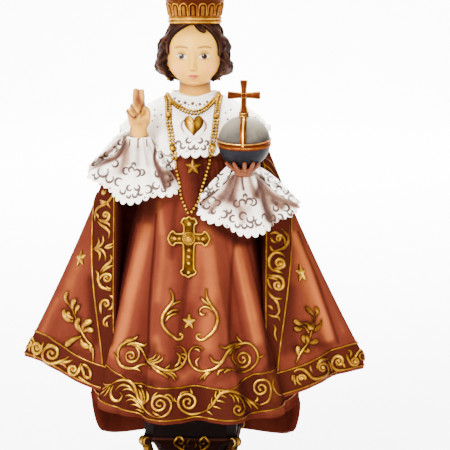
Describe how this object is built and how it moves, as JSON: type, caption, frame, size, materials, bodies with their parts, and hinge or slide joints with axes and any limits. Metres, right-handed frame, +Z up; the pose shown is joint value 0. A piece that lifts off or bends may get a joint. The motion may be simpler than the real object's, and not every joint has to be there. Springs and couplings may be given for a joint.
{
  "type": "infant of prague statue",
  "caption": "Painted resin statuette of a crowned child in a wide lace-trimmed robe and cape, one hand raised, the other holding an orb, on a scrolled pedestal.",
  "frame": {"origin": "middle of the pedestal's underside", "axes": "+Z up to the crown's tip, -Y towards the viewer, +X towards the orb"},
  "size_m": [0.1894, 0.1146, 0.3053],
  "materials": {
    "dark_bronze_paint": "satin",
    "painted_resin": "satin",
    "gold_paint": "satin",
    "orb_paint": "satin",
    "lace_paint": "satin",
    "skin_paint": "satin",
    "hair_paint": "satin"
  },
  "bodies": {
    "root": {"pedestal": "dark_bronze_paint", "figure": "painted_resin", "crown": "gold_paint", "orb": "orb_paint"}
  },
  "joints": []
}
